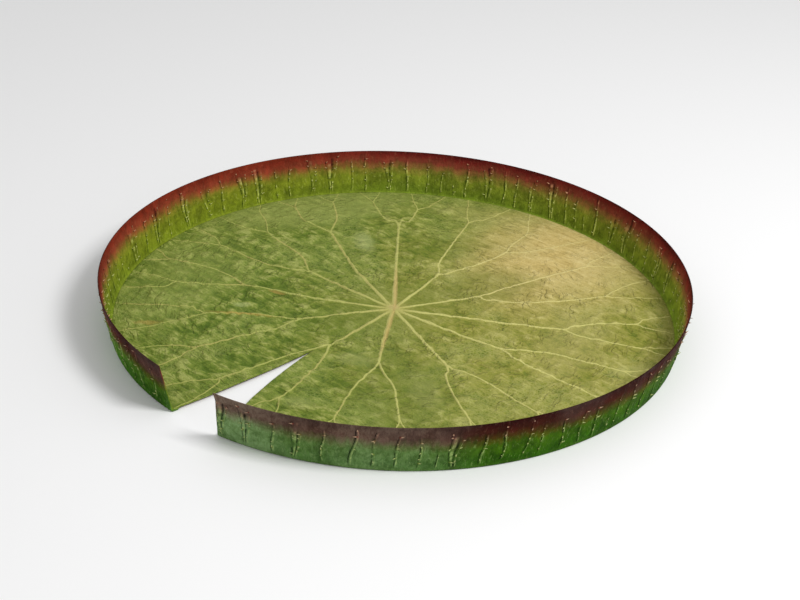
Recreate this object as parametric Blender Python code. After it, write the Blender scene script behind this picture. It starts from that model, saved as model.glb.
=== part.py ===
"""Pad of a giant water lily, cut from its stalk: a flat round blade with an upturned rim and one deep notch.

The pad is one grown piece, so it is one solid. Units are metres and +Z is up. The origin is the centre of the
plane that the pad rests on, and the notch opens towards -Y.
"""

import math

import bmesh
import bpy
from mathutils import Vector

# Driving sizes of the pad.
LIP_RADIUS = 0.750              # outside of the rim at its lip
FOOT_RADIUS = 0.7255            # where the line of the rim's outside meets the resting plane
RIM_HEIGHT = 0.129
RIM_FOOT_THICKNESS = 0.0042
RIM_LIP_THICKNESS = 0.0026
BLADE_TOP = 0.0085              # height of the blade's upper face
BLADE_THICKNESS = 0.0032
STALK_RADIUS = 0.022            # cut end of the stalk, under the blade's centre
STALK_FLARE_RADIUS = 0.046      # where the stalk has spread out into the blade
FOOT_BAND = 0.012               # width of the thick fold under the rim
OUTER_FOLD_RADIUS = 0.006
INNER_FOLD_RADIUS = 0.011
TURN_STEPS = 120

# Driving sizes of the notch.
NOTCH_APEX = Vector((-0.0144, -0.2935))
NOTCH_SPREAD_LEFT = (-0.073, -0.15)     # sideways per metre, and per metre squared, from the apex outwards
NOTCH_SPREAD_RIGHT = (0.078, 0.30)
NOTCH_LEAN = 0.011                      # how much further each cut end of the rim leans back at the lip
NOTCH_LENGTH = 0.50
NOTCH_STEPS = 6
NOTCH_OVERRUN = 0.02                    # how far the cutter passes the pad below and above

# Driving sizes of the ribs under the blade.
RIB_BOTTOM = 0.0004
RIB_SINK = 0.0008                       # how deep a rib runs up into the blade
RIB_START_WIDTH = 0.013
RIB_FORK_WIDTH = 0.009
RIB_END_WIDTH = 0.005
RIB_SIDE_SLOPE = 0.78                   # width of a rib's lower face as a share of its upper one
RIB_FIELD_CENTRE = Vector((0.0106, -0.0136))    # where the stations' bearings are taken from
RIB_FIELD_RADIUS = 0.722                        # distance from it at a share of 1
HUB = Vector((-0.001, -0.005))                  # where the ribs meet
HUB_REACH = 0.015                               # how far from the hub each rib starts, inside the stalk

# Main ribs. Each has its stem, then its counter-clockwise branch, then its clockwise one.
# A station is (share of the field's radius, degrees from +X).
RIBS = (
    ([(0.68, 127.8)], [(0.75, 131.5), (0.91, 134.5)], [(0.75, 124.5), (0.86, 123.0)]),
    ([(0.315, 100.2)], [(0.42, 105.6), (0.54, 107.1), (0.81, 107.8)],
     [(0.36, 96.5), (0.50, 90.2), (0.66, 88.6)]),
    ([(0.315, 63.2)], [(0.47, 66.5), (0.82, 68.1)], [(0.345, 57.3), (0.47, 51.7), (0.78, 51.4)]),
    ([(0.595, 30.7)], [(0.64, 33.1), (0.71, 35.4), (0.85, 36.9)],
     [(0.66, 27.4), (0.79, 25.9), (0.87, 25.8)]),
    ([(0.43, 5.9)], [(0.51, 10.2), (0.59, 13.3), (0.84, 13.8)], [(0.52, 2.6), (0.63, 1.2), (0.84, 0.3)]),
    ([(0.38, -24.8)], [(0.53, -17.7), (0.78, -15.2)], [(0.47, -29.5), (0.59, -31.5), (0.74, -32.0)]),
    ([(0.355, -59.4)], [(0.485, -52.1), (0.71, -49.6)], [(0.525, -65.0), (0.73, -66.0)]),
    ([(0.327, -92.4)], [(0.38, -88.4), (0.48, -84.1), (0.70, -82.6)],
     [(0.42, -96.9), (0.53, -99.5), (0.755, -100.0)]),
    ([(0.338, -128.0)], [(0.44, -120.9), (0.72, -117.6)],
     [(0.42, -132.1), (0.50, -135.3), (0.655, -136.6)]),
    ([(0.57, -158.2)], [(0.65, -155.4), (0.81, -153.0)], [(0.63, -161.4), (0.76, -164.4), (0.91, -163.8)]),
    ([(0.418, -183.2)], [(0.53, -177.5), (0.61, -176.3), (0.82, -177.0)],
     [(0.52, -189.5), (0.60, -191.0), (0.785, -192.0)]),
    ([(0.30, 153.9), (0.665, 150.9)], [(0.75, 153.6), (0.82, 155.4), (0.93, 154.6)],
     [(0.80, 145.8), (0.92, 144.7)]),
)


def clear_scene():
    """Remove whatever a new file holds."""
    for old in list(bpy.data.objects):
        bpy.data.objects.remove(old, do_unlink=True)


def material(name, colour, roughness):
    """A plain leaf colour."""
    made = bpy.data.materials.new(name)
    made.use_nodes = True
    shader = made.node_tree.nodes["Principled BSDF"]
    shader.inputs["Base Color"].default_value = (*colour, 1.0)
    shader.inputs["Roughness"].default_value = roughness
    shader.inputs["Metallic"].default_value = 0.0
    return made


def add_object(name, bm):
    """Turn a bmesh into a linked object with its faces pointing out."""
    bmesh.ops.recalc_face_normals(bm, faces=bm.faces[:])
    mesh = bpy.data.meshes.new(name)
    bm.to_mesh(mesh)
    bm.free()
    made = bpy.data.objects.new(name, mesh)
    bpy.context.scene.collection.objects.link(made)
    return made


def arc(centre, radius, start, end, steps):
    """Points along an arc in the profile's plane, angles in radians."""
    angles = [start + (end - start) * i / steps for i in range(steps + 1)]
    return [Vector((centre.x + radius * math.cos(a), centre.y + radius * math.sin(a))) for a in angles]


def pad_profile():
    """Half section of the pad, (radius, height), from the stalk's cut end round to the blade's centre."""
    lean = math.atan2(RIM_HEIGHT, LIP_RADIUS - FOOT_RADIUS)
    outward = lean - math.pi / 2
    blade_under = BLADE_TOP - BLADE_THICKNESS
    stalk = [
        Vector((0.0, 0.0)),
        Vector((STALK_RADIUS, 0.0)),
        Vector((STALK_RADIUS * 1.2, blade_under * 0.6)),
        Vector((STALK_FLARE_RADIUS, blade_under)),
    ]

    outer_setback = OUTER_FOLD_RADIUS / math.tan((math.pi - lean) / 2)
    outer_centre = Vector((FOOT_RADIUS - outer_setback, OUTER_FOLD_RADIUS))
    band_inside = outer_centre.x - FOOT_BAND
    band = [Vector((band_inside - blade_under, blade_under)), Vector((band_inside, 0.0))]
    outer_fold = arc(outer_centre, OUTER_FOLD_RADIUS, -math.pi / 2, outward, 3)

    lip_half = RIM_LIP_THICKNESS / 2
    lip_centre = Vector((LIP_RADIUS - lip_half, RIM_HEIGHT - lip_half))
    lip = arc(lip_centre, lip_half, outward, outward + math.pi, 4)

    inner_foot = FOOT_RADIUS - RIM_FOOT_THICKNESS / math.sin(lean) + BLADE_TOP / math.tan(lean)
    inner_setback = INNER_FOLD_RADIUS / math.tan((math.pi - lean) / 2)
    inner_centre = Vector((inner_foot - inner_setback, BLADE_TOP + INNER_FOLD_RADIUS))
    inner_fold = arc(inner_centre, INNER_FOLD_RADIUS, outward, -math.pi / 2, 3)
    return stalk + band + outer_fold + lip + inner_fold + [Vector((0.0, BLADE_TOP))]


def make_pad():
    """Blade, rim and stalk stub, turned from one profile."""
    bm = bmesh.new()
    points = [bm.verts.new((p.x, 0.0, p.y)) for p in pad_profile()]
    edges = [bm.edges.new(pair) for pair in zip(points, points[1:])]
    bmesh.ops.spin(
        bm, geom=points + edges, cent=(0, 0, 0), axis=(0, 0, 1), angle=2 * math.pi, steps=TURN_STEPS,
        use_merge=True,
    )
    bmesh.ops.remove_doubles(bm, verts=bm.verts[:], dist=0.00001)
    pad = add_object("leaf", bm)
    pad.data.shade_smooth()
    pad.data.set_sharp_from_angle(angle=math.radians(40))
    return pad


def station(share, degrees):
    """Place of a rib's station in plan."""
    bearing = math.radians(degrees)
    return RIB_FIELD_CENTRE + Vector((math.cos(bearing), math.sin(bearing))) * share * RIB_FIELD_RADIUS


def add_rib(bm, path, start_width, end_width):
    """One tapered bar under the blade that follows a path in plan."""
    top = BLADE_TOP - BLADE_THICKNESS + RIB_SINK
    length = sum((b - a).length for a, b in zip(path, path[1:]))
    gone = 0.0
    rings = []
    for i, here in enumerate(path):
        before = path[max(i - 1, 0)]
        after = path[min(i + 1, len(path) - 1)]
        gone += (here - before).length
        along = (after - before).normalized()
        side = Vector((-along.y, along.x))
        half = (start_width + (end_width - start_width) * gone / length) / 2
        low_half = half * RIB_SIDE_SLOPE
        corners = ((half, top), (-half, top), (-low_half, RIB_BOTTOM), (low_half, RIB_BOTTOM))
        rings.append([bm.verts.new((*(here + side * across), height)) for across, height in corners])
    for first, second in zip(rings, rings[1:]):
        for k in range(4):
            bm.faces.new((first[k], first[(k + 1) % 4], second[(k + 1) % 4], second[k]))
    bm.faces.new(rings[0])
    bm.faces.new(reversed(rings[-1]))


def make_ribs():
    """All the ribs as overlapping bars, to be joined to the blade."""
    bm = bmesh.new()
    for stem, left, right in RIBS:
        stem_path = [station(*s) for s in stem]
        stem_path.insert(0, HUB + (stem_path[0] - HUB).normalized() * HUB_REACH)
        add_rib(bm, stem_path, RIB_START_WIDTH, RIB_FORK_WIDTH)
        for branch in (left, right):
            add_rib(bm, [stem_path[-1]] + [station(*s) for s in branch], RIB_FORK_WIDTH, RIB_END_WIDTH)
    return add_object("ribs", bm)


def notch_side(spread, lean, height):
    """One edge of the notch in plan at a given height, from the apex outwards."""
    side = []
    for i in range(NOTCH_STEPS + 1):
        out = NOTCH_LENGTH * i / NOTCH_STEPS
        across = spread[0] * out + spread[1] * out * out
        rise = lean * height / RIM_HEIGHT * (out / NOTCH_LENGTH) ** 2
        side.append(Vector((NOTCH_APEX.x + across + rise, NOTCH_APEX.y - out, height)))
    return side


def make_notch():
    """The wedge that leaves the notch, a little wider at the lip than at the blade."""
    bm = bmesh.new()
    outlines = []
    for height in (-NOTCH_OVERRUN, RIM_HEIGHT + NOTCH_OVERRUN):
        left = notch_side(NOTCH_SPREAD_LEFT, -NOTCH_LEAN, height)
        right = notch_side(NOTCH_SPREAD_RIGHT, NOTCH_LEAN, height)
        outlines.append([bm.verts.new(p) for p in left + right[:0:-1]])
    count = len(outlines[0])
    for i in range(count):
        j = (i + 1) % count
        bm.faces.new((outlines[0][i], outlines[0][j], outlines[1][j], outlines[1][i]))
    bm.faces.new(outlines[0])
    bm.faces.new(outlines[1])
    bmesh.ops.triangulate(bm, faces=bm.faces[:])
    return add_object("notch", bm)


def combine(target, tool, operation):
    """Join a helper to the pad or cut it away, and keep the helper out of the model."""
    tool.hide_render = True
    tool.display_type = "WIRE"
    change = target.modifiers.new(tool.name, "BOOLEAN")
    change.operation = operation
    change.solver = "EXACT"
    change.use_self = operation == "UNION"
    change.object = tool


clear_scene()
leaf = make_pad()
combine(leaf, make_ribs(), "UNION")
combine(leaf, make_notch(), "DIFFERENCE")
leaf.data.materials.append(material("leaf", (0.27, 0.33, 0.10), 0.5))
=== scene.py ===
"""Pad of a giant water lily, cut from its stalk and laid on a pale floor."""

import math
import random

import bpy
import numpy as np
from mathutils import Matrix, Vector, kdtree, noise
from mathutils.geometry import delaunay_2d_cdt


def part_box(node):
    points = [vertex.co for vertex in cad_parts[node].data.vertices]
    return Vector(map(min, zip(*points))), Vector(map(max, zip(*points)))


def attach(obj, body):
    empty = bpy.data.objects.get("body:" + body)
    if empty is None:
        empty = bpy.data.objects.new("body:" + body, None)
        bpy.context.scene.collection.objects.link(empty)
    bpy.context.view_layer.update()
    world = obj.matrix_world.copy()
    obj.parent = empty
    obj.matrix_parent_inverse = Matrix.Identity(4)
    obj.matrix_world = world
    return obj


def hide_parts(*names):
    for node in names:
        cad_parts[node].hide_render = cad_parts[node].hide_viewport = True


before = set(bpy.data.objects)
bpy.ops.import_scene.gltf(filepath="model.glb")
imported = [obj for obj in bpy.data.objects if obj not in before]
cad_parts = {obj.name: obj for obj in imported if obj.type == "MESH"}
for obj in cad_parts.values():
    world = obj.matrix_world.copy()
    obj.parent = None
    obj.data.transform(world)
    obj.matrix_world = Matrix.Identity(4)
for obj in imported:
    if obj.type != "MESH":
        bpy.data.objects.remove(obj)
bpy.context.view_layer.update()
bpy.ops.object.select_all(action="DESELECT")

# --- Blade ------------------------------------------------------------------------------------------------
# The flat round middle of the leaf: a spongy plate about 3 mm thick, with pale veins raised on its upper face
# and ribs below. It grew as one skin. Its edge shows in the notch and is lost elsewhere in the rim's fold.
lip_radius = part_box("leaf")[1].x
rim_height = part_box("leaf")[1].z
foot_radius = 0.9673 * lip_radius
blade_top = 0.0085
blade_under = 0.0053
blade_tuck = 0.007              # how far inside the rim's foot the blade ends
blade_radius = foot_radius - blade_tuck
rest_height = 0.0003            # lowest the blade's ribs may hang above the floor
edge_round = 0.0010
swell_height = 0.0022           # slow rise and fall of the whole blade
fold_depth = 0.0042             # depth of a full wrinkle
quilt_height = 0.0012           # how far the skin bulges between the veins
quilt_reach = 0.030
rib_drop = 0.0048               # how far the ribs stand out below
outline_step = 0.0045
upper_spacing = 0.0068          # between the mesh's points, away from the veins
under_spacing = 0.013
rng = random.Random(12)

# The notch, as in the frame: its apex, and how each edge spreads per metre and per metre squared outwards.
notch_apex = np.array((-0.0144, -0.2935))
notch_spread = {"left": (-0.073, -0.15), "right": (0.078, 0.30)}
notch_lean = {"left": -0.011, "right": 0.011}
notch_length = 0.50


def notch_edge(side, out, height=0.0):
    """Points on one edge of the notch at distances out from the apex."""
    first, second = notch_spread[side]
    lean = notch_lean[side] * height / rim_height * (out / notch_length) ** 2
    return np.stack((notch_apex[0] + first * out + second * out**2 + lean, notch_apex[1] - out), axis=-1)


def notch_reach(side, radius, height=0.0):
    """How far out from the apex an edge of the notch crosses a circle about the leaf's centre."""
    out = radius + notch_apex[1]
    for _ in range(5):
        across = notch_edge(side, out, height)[..., 0]
        out = notch_apex[1] + np.sqrt(radius**2 - across**2)
    return out


# Main veins, clockwise round the leaf. Each has its stem and two branches, and each branch has its own course
# and two twigs. A station is (share of the vein field's radius, degrees from +X) about the field's centre.
veins = (
    ([(0.68, 127.8)],
     ([(0.75, 131.5), (0.835, 133.5), (0.92, 134.5)], [(0.985, 133.2)], [(0.985, 136.4)]),
     ([(0.75, 124.5), (0.86, 123.0)], [(0.933, 124.3), (0.985, 124.9)], [(0.90, 120.4), (0.95, 118.9)])),
    ([(0.315, 100.2)],
     ([(0.42, 105.6), (0.54, 107.1), (0.73, 107.6), (0.807, 107.8)],
      [(0.87, 109.6), (0.96, 111.0)], [(0.88, 103.8), (0.96, 102.2)]),
     ([(0.36, 96.5), (0.50, 90.2), (0.59, 88.8), (0.656, 88.6)],
      [(0.73, 90.3), (0.846, 91.2), (0.935, 94.2)], [(0.70, 85.0), (0.776, 82.5), (0.943, 79.5)])),
    ([(0.315, 63.2)],
     ([(0.47, 66.5), (0.634, 67.3), (0.824, 68.1)],
      [(0.87, 69.7), (0.985, 71.0)], [(0.92, 65.2), (0.985, 63.9)]),
     ([(0.345, 58.5), (0.466, 51.7), (0.64, 50.4), (0.783, 51.4)],
      [(0.84, 54.0), (0.918, 56.0), (0.985, 56.8)], [(0.84, 50.2), (0.975, 48.9)])),
    ([(0.254, 31.8), (0.49, 30.4), (0.596, 30.7)],
     ([(0.642, 33.1), (0.707, 35.4), (0.853, 36.9)],
      [(0.893, 39.0), (0.97, 40.5)], [(0.894, 35.5), (0.97, 33.9)]),
     ([(0.664, 27.4), (0.79, 25.9), (0.87, 25.8)], [(0.98, 27.4)], [(0.965, 24.0)])),
    ([(0.283, 5.6), (0.43, 5.9)],
     ([(0.512, 10.2), (0.594, 13.3), (0.666, 13.6), (0.843, 13.8)], [(0.924, 16.5)], [(0.90, 12.8)]),
     ([(0.515, 2.6), (0.632, 1.2), (0.727, 0.9), (0.837, 0.3)], [(0.93, 2.5)], [(0.93, -2.3)])),
    ([(0.383, -24.8)],
     ([(0.468, -20.3), (0.531, -17.7), (0.653, -16.5), (0.78, -15.2)],
      [(0.86, -12.8), (0.95, -11.2)], [(0.88, -17.4), (0.96, -18.4)]),
     ([(0.468, -29.5), (0.589, -31.5), (0.737, -32.0)],
      [(0.85, -29.6), (0.95, -28.4)], [(0.86, -34.4), (0.95, -35.8)])),
    ([(0.175, -62.0), (0.355, -59.4)],
     ([(0.485, -52.1), (0.539, -50.7), (0.708, -49.6)],
      [(0.80, -46.8), (0.93, -44.8)], [(0.80, -51.6), (0.93, -53.0)]),
     ([(0.525, -65.0), (0.658, -65.9), (0.734, -66.0)],
      [(0.80, -63.8), (0.93, -62.2)], [(0.80, -67.8), (0.94, -69.4)])),
    ([(0.253, -92.6), (0.327, -92.4)],
     ([(0.379, -88.4), (0.479, -84.1), (0.611, -82.7), (0.703, -82.6)],
      [(0.782, -79.8), (0.93, -78.4)], [(0.754, -84.9), (0.80, -86.0)]),
     ([(0.422, -96.9), (0.531, -99.5), (0.673, -99.8), (0.755, -100.0)],
      [(0.785, -98.7), (0.894, -96.9), (0.94, -96.8)], [(0.837, -103.1), (0.93, -104.6)])),
    ([(0.25, -130.0), (0.338, -128.0)],
     ([(0.441, -120.9), (0.583, -119.3), (0.723, -117.6)],
      [(0.821, -114.0), (0.887, -112.9)], [(0.772, -119.2), (0.855, -121.1), (0.92, -121.2)]),
     ([(0.418, -132.1), (0.502, -135.3), (0.655, -136.6)],
      [(0.733, -133.5), (0.819, -131.3), (0.95, -129.3)],
      [(0.70, -138.3), (0.745, -140.3), (0.965, -140.9)])),
    ([(0.254, -157.3), (0.485, -158.4), (0.57, -158.2)],
     ([(0.649, -155.4), (0.727, -153.9), (0.81, -153.0)],
      [(0.847, -150.4), (0.918, -148.9), (0.984, -148.1)], [(0.894, -154.7), (0.985, -155.2)]),
     ([(0.634, -161.4), (0.676, -162.8), (0.762, -164.4), (0.91, -163.8)],
      [(0.975, -161.6)], [(0.965, -165.5)])),
    ([(0.285, 176.0), (0.418, 176.8)],
     ([(0.53, 182.5), (0.611, 183.7), (0.726, 183.5), (0.82, 183.0)],
      [(0.883, 184.8), (0.968, 187.2)], [(0.886, 180.7), (0.985, 180.3)]),
     ([(0.52, 170.5), (0.597, 169.0), (0.72, 168.9), (0.785, 168.0)],
      [(0.846, 170.5), (0.893, 171.8), (0.98, 172.5)], [(0.871, 164.8), (0.948, 163.6), (0.985, 162.3)])),
    ([(0.301, 153.9), (0.402, 153.2), (0.529, 151.9), (0.665, 150.9)],
     ([(0.751, 153.6), (0.823, 155.4), (0.93, 154.6)], [(0.985, 156.2)], [(0.985, 152.9)]),
     ([(0.741, 147.8), (0.802, 145.8), (0.923, 144.7)], [(0.985, 146.4)], [(0.985, 143.0)])),
)
vein_step = 0.002
vein_end_share = 0.985
hub_half_width = 0.0066
fork_half_width = 0.0041
branch_half_width = 0.0030
twig_half_width = 0.0018
hub = np.array((-0.001, -0.005))                # where the veins meet
vein_centre = np.array((0.0106, -0.0136))       # where the stations' bearings are taken from
vein_field_radius = 0.995 * foot_radius
vein_reach = vein_end_share * foot_radius       # how far from the leaf's centre a vein may run
crest_per_half_width = 0.40
hub_crossing = 0.007            # how far a main vein runs past the hub
branch_taper = 0.88             # half width of a branch at its fork, as a share of the stem's there
twig_taper = 0.86
twig_runs_on_from = 0.88        # a twig that reaches this share of the field runs on to the rim
twig_slack = 0.01 * foot_radius


def station(share, degrees):
    """Place of a station in plan."""
    bearing = math.radians(degrees)
    return vein_centre + share * vein_field_radius * np.array((math.cos(bearing), math.sin(bearing)))


def rim_end(before, last):
    """Where a twig that runs straight on past its last station meets the rim."""
    ahead = (last - before) / np.linalg.norm(last - before)
    along = float(last @ ahead)
    return last + ahead * (math.sqrt(along**2 - float(last @ last) + vein_reach**2) - along)


def sides_of(line):
    """Unit vectors in plan that point to the left of a line at each of its points."""
    along = np.gradient(line, axis=0)
    along /= np.linalg.norm(along, axis=1)[:, None]
    return np.stack((-along[:, 1], along[:, 0]), axis=1)


def course(lead, stations):
    """A smooth line of close points through some stations, leaving the first one along the line from lead."""
    points = [lead] + stations
    points.append(2 * points[-1] - points[-2])
    line = []
    for a, b, c, d in zip(points, points[1:], points[2:], points[3:]):
        steps = max(2, round(float(np.linalg.norm(c - b)) / vein_step))
        for t in np.arange(steps) / steps:
            pull = (2 * b, c - a, 2 * a - 5 * b + 4 * c - d, 3 * b - a - 3 * c + d)
            line.append(0.5 * (pull[0] + pull[1] * t + pull[2] * t * t + pull[3] * t**3))
    line.append(points[-2])
    line = np.array(line)
    gone = np.arange(len(line)) * vein_step
    ends = np.minimum(1.0, np.minimum(gone, gone[::-1]) / 0.02)
    seed = rng.uniform(0.0, 100.0)
    sway = np.array([noise.noise((g / 0.022, seed, 0.0)) for g in gone]) * 0.0016 * ends
    return line + sides_of(line) * sway[:, None]


def grow_vein(lines, lead, stations, start, end):
    """Add one stretch of vein that tapers from a start half width to an end half width."""
    line = course(lead, stations)
    lines.append((line, np.linspace(start, end, len(line))))


vein_lines = []
for stem, *branches in veins:
    stem_places = [station(*s) for s in stem]
    heading = hub_crossing * (stem_places[0] - hub) / np.linalg.norm(stem_places[0] - hub)
    stem_places.insert(0, hub + heading)
    grow_vein(vein_lines, hub - heading, stem_places, hub_half_width, fork_half_width)
    for branch, *twigs in branches:
        places = [stem_places[-1]] + [station(*s) for s in branch]
        grow_vein(vein_lines, stem_places[-2], places, fork_half_width * branch_taper, branch_half_width)
        for twig in twigs:
            reach = [station(*s) for s in twig]
            if twig[-1][0] > twig_runs_on_from and np.linalg.norm(reach[-1]) < vein_reach - twig_slack:
                reach.append(rim_end((places[-1:] + reach)[-2], reach[-1]))
            path = [places[-1]] + reach
            grow_vein(vein_lines, places[-2], path, branch_half_width * twig_taper, twig_half_width)

vein_points = np.concatenate([line for line, _ in vein_lines])
vein_halves = np.concatenate([half for _, half in vein_lines])
vein_owner = np.concatenate([np.full(len(line), k) for k, (line, _) in enumerate(vein_lines)])
vein_tree = kdtree.KDTree(len(vein_points))
for index, (x, y) in enumerate(vein_points):
    vein_tree.insert((x, y, 0.0), index)
vein_tree.balance()


def nearest_vein(points):
    """Index of, and distance to, the closest vein point for each place in plan."""
    found = [vein_tree.find((x, y, 0.0)) for x, y in points]
    return np.array([f[1] for f in found]), np.array([f[2] for f in found])


def blade_outline(step):
    """The blade's edge in plan, counter-clockwise from the right of the notch round to the apex."""
    rounding = 0.010
    right = notch_edge("right", np.arange(rounding, notch_reach("right", blade_radius), step))
    left = notch_edge("left", np.arange(rounding, notch_reach("left", blade_radius), step))
    corner_right = notch_edge("right", notch_reach("right", blade_radius))
    corner_left = notch_edge("left", notch_reach("left", blade_radius))
    start = math.atan2(*corner_right[::-1])
    end = math.atan2(*corner_left[::-1]) + 2 * math.pi
    turn = np.linspace(start, end, round((end - start) * blade_radius / step) + 1)
    rim = blade_radius * np.stack((np.cos(turn), np.sin(turn)), axis=1)
    tip = (left[0] + right[0]) / 2 + (0.0, 0.0012)
    return np.concatenate((right, rim, left[::-1], tip[None]))


def ring_normals(ring):
    """Unit vectors in plan that point out of a closed counter-clockwise ring."""
    along = np.roll(ring, -1, axis=0) - np.roll(ring, 1, axis=0)
    along /= np.linalg.norm(along, axis=1)[:, None]
    return np.stack((along[:, 1], -along[:, 0]), axis=1)


def inside_blade(points, margin):
    """Which points lie in the blade, clear of its edge by a margin."""
    r = np.hypot(points[:, 0], points[:, 1])
    out = notch_apex[1] + margin - points[:, 1]
    left = notch_edge("left", np.maximum(out, 0.0))[:, 0] - margin
    right = notch_edge("right", np.maximum(out, 0.0))[:, 0] + margin
    in_notch = (out > 0) & (points[:, 0] > left) & (points[:, 0] < right)
    return (r < blade_radius - margin) & ~in_notch


def vein_rows(offsets, step, swell, gap):
    """Rows of points along the veins, each kept only where its own vein is the closest one."""
    rows = []
    taken = set()
    for k, (line, half) in enumerate(vein_lines):
        every = max(1, round(step / vein_step))
        side = sides_of(line)
        for offset in offsets:
            row = (line + side * (half * swell * offset)[:, None])[::every]
            index, distance = nearest_vein(row)
            mine = (vein_owner[index] == k) | (distance > np.abs(offset) * half[::every] * swell * 0.98)
            for x, y in row[mine]:
                cell = (round(x / gap), round(y / gap))
                if cell not in taken:
                    taken.add(cell)
                    rows.append((x, y))
    rows = np.array(rows)
    return rows[inside_blade(rows, 0.002)]


def cloud(spacing, clearance):
    """Evenly strewn points over the rest of the blade."""
    count = int(blade_radius / spacing) + 2
    i, j = np.meshgrid(np.arange(-2 * count, 2 * count), np.arange(-2 * count, 2 * count))
    grid = np.stack(((i + 0.5 * (j % 2)).ravel() * spacing, j.ravel() * spacing * 0.866), axis=1)
    grid = grid[np.hypot(grid[:, 0], grid[:, 1]) < blade_radius]
    grid = grid + np.random.default_rng(5).uniform(-0.22, 0.22, grid.shape) * spacing
    grid = grid[inside_blade(grid, 0.45 * spacing)]
    index, distance = nearest_vein(grid)
    return grid[distance > vein_halves[index] * clearance + 0.3 * spacing]


def skin(ring, inner):
    """Triangles that fill a ring through inner points: places in plan, triangles, and the ring's indices."""
    places = [Vector(p) for p in np.concatenate((ring, inner))]
    count = len(ring)
    border = [(k, (k + 1) % count) for k in range(count)]
    made = delaunay_2d_cdt(places, border, [list(range(count))], 1, 1e-6)
    slots = {}
    for new, olds in enumerate(made[3]):
        for old in olds:
            slots[old] = new
    return np.array([tuple(p) for p in made[0]]), made[2], [slots[k] for k in range(count)]


def swell_of(points):
    """Slow rise and fall of the whole blade, which dies out at the rim and by the hub."""
    r = np.hypot(points[:, 0], points[:, 1])
    fade = np.clip((blade_radius - 0.012 - r) / 0.10, 0, 1) * np.clip(r / 0.2, 0, 1)
    waves = np.array([noise.noise((x * 5.5, y * 5.5, 2.0)) for x, y in points])
    return swell_height * fade * waves


# The oval where the blade's wrinkles are shallower: its centre, its half length and half width.
smooth_centre = (0.14, 0.54)
smooth_reach = (0.26, 0.20)


def wrinkle_of(points):
    """Bulges with furrows between them, longer round the leaf than across it, as shares of their depth."""
    r = np.maximum(np.hypot(points[:, 0], points[:, 1]), 1e-4)
    heights = []
    for (x, y), radius in zip(points, r):
        warp = 0.9 * noise.noise((x * 12.0, y * 12.0, 3.1))
        turn = 5.0 + 5.0 * radius
        near = noise.voronoi((x / radius * turn + warp, y / radius * turn - warp, radius / 0.040 + warp))[0]
        bulge = min(near[1] - near[0], 0.55) / 0.55
        lump = noise.noise((x * 26.0 + warp, y * 26.0, 7.7))
        grain = noise.noise((x * 80.0, y * 80.0, 1.3))
        heights.append(0.9 * (math.sin(0.5 * math.pi * bulge) - 0.6) + 0.75 * lump + 0.4 * grain)
    fade = np.clip((blade_radius - 0.004 - r) / 0.03, 0, 1) * np.clip((r - 0.03) / 0.14, 0.05, 1)
    smooth_far = np.hypot(*((points - smooth_centre) / smooth_reach).T)
    rough = 0.35 + 0.65 * np.clip((smooth_far - 0.7) / 0.8, 0, 1)
    out = notch_apex[1] - points[:, 1]
    beside = np.maximum(notch_edge("left", np.maximum(out, 0))[:, 0] - points[:, 0],
                        points[:, 0] - notch_edge("right", np.maximum(out, 0))[:, 0])
    clear = np.where(out > 0, beside, np.hypot(points[:, 0] - notch_apex[0], out))
    return np.array(heights) * fade * rough * np.clip(clear / 0.035, 0.12, 1)


def vein_profile(points, swell):
    """Share of the way up a vein's side at each place, the vein's half width, and the distance to it."""
    index, distance = nearest_vein(points)
    half = vein_halves[index] * swell
    share = np.clip(1 - (distance / half) ** 2, 0, 1) ** 1.5
    return share, half, distance


outline = blade_outline(outline_step)
outward = ring_normals(outline)
inset_ring = outline - outward * edge_round

upper_rows = vein_rows((0.0, -0.4, 0.4, -0.8, 0.8, -1.25, 1.25), 0.004, 1.0, 0.0009)
upper_inner = np.concatenate((upper_rows, cloud(upper_spacing, 1.35)))
upper_plan, upper_faces, upper_ring = skin(inset_ring, upper_inner)
share, half, distance = vein_profile(upper_plan, 1.0)
from_rim = blade_radius - np.hypot(*upper_plan.T)
quilt = quilt_height * np.clip(distance / quilt_reach, 0, 1) * np.clip(from_rim / 0.05, 0, 1)
upper_wrinkle = wrinkle_of(upper_plan)
upper_height = (
    blade_top + swell_of(upper_plan) + fold_depth * upper_wrinkle * (1 - 0.7 * share) + quilt
    + share * half * crest_per_half_width
)

rib_swell = 1.15
under_rows = vein_rows((0.0, -0.6, 0.6, -1.05, 1.05), 0.008, rib_swell, 0.0012)
under_inner = np.concatenate((under_rows, cloud(under_spacing, 1.5)))
under_plan, under_faces, under_ring = skin(inset_ring, under_inner)
under_share, under_half, under_distance = vein_profile(under_plan, rib_swell)
rib_depth = np.minimum(rib_drop, 1.1 * under_half) * np.clip(under_share * 1.8, 0, 1)
under_wrinkle = wrinkle_of(under_plan)
under_height = blade_under + swell_of(under_plan) + 0.3 * fold_depth * under_wrinkle - rib_depth
under_height = np.maximum(under_height, rest_height)

upper_count = len(upper_plan)
under_count = len(under_plan)
ring_count = len(outline)
top_edge = upper_height[upper_ring] - edge_round
low_edge = under_height[under_ring] + edge_round
vertices = np.concatenate((
    np.column_stack((upper_plan, upper_height)),
    np.column_stack((under_plan, under_height)),
    np.column_stack((outline, top_edge)),
    np.column_stack((outline, low_edge)),
))
faces = [list(f) for f in upper_faces]
faces += [[v + upper_count for v in reversed(f)] for f in under_faces]
rings = (
    upper_ring,
    [upper_count + under_count + k for k in range(ring_count)],
    [upper_count + under_count + ring_count + k for k in range(ring_count)],
    [upper_count + v for v in under_ring],
)
for above, below in zip(rings, rings[1:]):
    for k in range(ring_count):
        j = (k + 1) % ring_count
        faces.append([above[k], below[k], below[j], above[j]])

blade_mesh = bpy.data.meshes.new("blade")
blade_mesh.from_pydata(vertices.tolist(), [], faces)
blade_mesh.update()
blade = bpy.data.objects.new("blade", blade_mesh)
bpy.context.scene.collection.objects.link(blade)


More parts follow.
